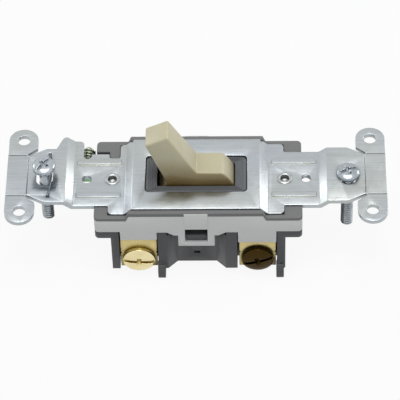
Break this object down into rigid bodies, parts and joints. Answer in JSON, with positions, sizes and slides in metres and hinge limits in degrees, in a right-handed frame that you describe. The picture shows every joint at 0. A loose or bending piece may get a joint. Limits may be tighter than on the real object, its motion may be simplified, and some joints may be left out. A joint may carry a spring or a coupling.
{
  "type": "toggle wall switch",
  "caption": "Commercial toggle wall switch on a steel mounting strap, with side terminal screws and clamp plates, a ground screw and captive mounting screws.",
  "frame": {"origin": "middle of the four ear holes, in the plane of the back faces of the strap's ears", "axes": "+X along the strap, +Y across it away from the two near terminals, +Z out of the wall, the way the toggle points"},
  "size_m": [0.1042, 0.0338, 0.0447],
  "materials": {
    "zinc_steel": "bright zinc plate",
    "grey_thermoset_top": "matte moulded",
    "light_grey_plastic": "matte moulded",
    "dark_grey_plastic": "matte moulded",
    "ivory_plastic": "satin moulded",
    "brass": "bright",
    "dark_bronze": "blackened",
    "green_steel": "green dyed zinc",
    "screw_steel": "bright zinc plate",
    "spring_steel": "plain",
    "silver": "contact silver",
    "copper_alloy": "plain",
    "white_plastic": "matte"
  },
  "bodies": {
    "switch_body": {"strap": "zinc_steel", "cover": "grey_thermoset_top", "frame_band": "light_grey_plastic", "base": "dark_grey_plastic", "fixed_contacts": "silver", "traveller_terminal_left": "brass", "traveller_terminal_far": "brass", "common_terminal": "brass", "ground_clip": "spring_steel", "rivets": "spring_steel"},
    "toggle": {"toggle": "ivory_plastic", "plunger": "white_plastic", "toggle_spring": "spring_steel"},
    "rocker": {"rocker": "copper_alloy", "moving_contacts": "silver"},
    "ground_screw": {"ground_screw": "green_steel"},
    "mounting_screw_left": {"mounting_screw_left": "screw_steel"},
    "mounting_screw_right": {"mounting_screw_right": "screw_steel"},
    "clamp_left": {"clamp_plate_left": "brass"},
    "terminal_screw_left": {"terminal_screw_left": "brass"},
    "clamp_common": {"clamp_plate_common": "brass"},
    "terminal_screw_common": {"terminal_screw_common": "dark_bronze"},
    "clamp_far": {"clamp_plate_far": "brass"},
    "terminal_screw_far": {"terminal_screw_far": "brass"}
  },
  "joints": [
    {"name": "toggle_hinge", "type": "hinge", "parent": "switch_body", "child": "toggle", "pos_m": [0, 0, -0.002], "axis": [0, 1, 0], "range_deg": [0, 54]},
    {"name": "rocker_hinge", "type": "hinge", "parent": "switch_body", "child": "rocker", "pos_m": [0, 0, -0.01418], "axis": [0, 1, 0], "range_deg": [-12, 0]},
    {"name": "terminal_screw_left_turn", "type": "hinge", "parent": "clamp_left", "child": "terminal_screw_left", "pos_m": [-0.016, -0.0145, -0.0178], "axis": [0, -1, 0], "range_deg": [0, 720]},
    {"name": "clamp_left_slide", "type": "slide", "parent": "switch_body", "child": "clamp_left", "axis": [0, -1, 0], "range_m": [0, 0.00159]},
    {"name": "terminal_screw_common_turn", "type": "hinge", "parent": "clamp_common", "child": "terminal_screw_common", "pos_m": [0.01675, -0.0145, -0.0178], "axis": [0, -1, 0], "range_deg": [0, 720]},
    {"name": "clamp_common_slide", "type": "slide", "parent": "switch_body", "child": "clamp_common", "axis": [0, -1, 0], "range_m": [0, 0.00159]},
    {"name": "terminal_screw_far_turn", "type": "hinge", "parent": "clamp_far", "child": "terminal_screw_far", "pos_m": [0.01675, 0.0145, -0.0178], "axis": [0, 1, 0], "range_deg": [0, 720]},
    {"name": "clamp_far_slide", "type": "slide", "parent": "switch_body", "child": "clamp_far", "axis": [0, 1, 0], "range_m": [0, 0.00159]},
    {"name": "ground_screw_slide", "type": "slide", "parent": "switch_body", "child": "ground_screw", "axis": [0, -1, 0], "range_m": [0, 0.003]},
    {"name": "mounting_screw_left_slide", "type": "slide", "parent": "switch_body", "child": "mounting_screw_left", "axis": [0, 0, -1], "range_m": [0, 0.0024]},
    {"name": "mounting_screw_right_slide", "type": "slide", "parent": "switch_body", "child": "mounting_screw_right", "axis": [0, 0, 1], "range_m": [0, 0.0039]}
  ],
  "couplings": [
    {"joint": "rocker_hinge", "follows": "toggle_hinge", "ratio": -0.22222},
    {"joint": "terminal_screw_left_turn", "follows": "clamp_left_slide", "rad_per_m": 7913.3},
    {"joint": "terminal_screw_common_turn", "follows": "clamp_common_slide", "rad_per_m": 7913.3},
    {"joint": "terminal_screw_far_turn", "follows": "clamp_far_slide", "rad_per_m": 7913.3}
  ]
}
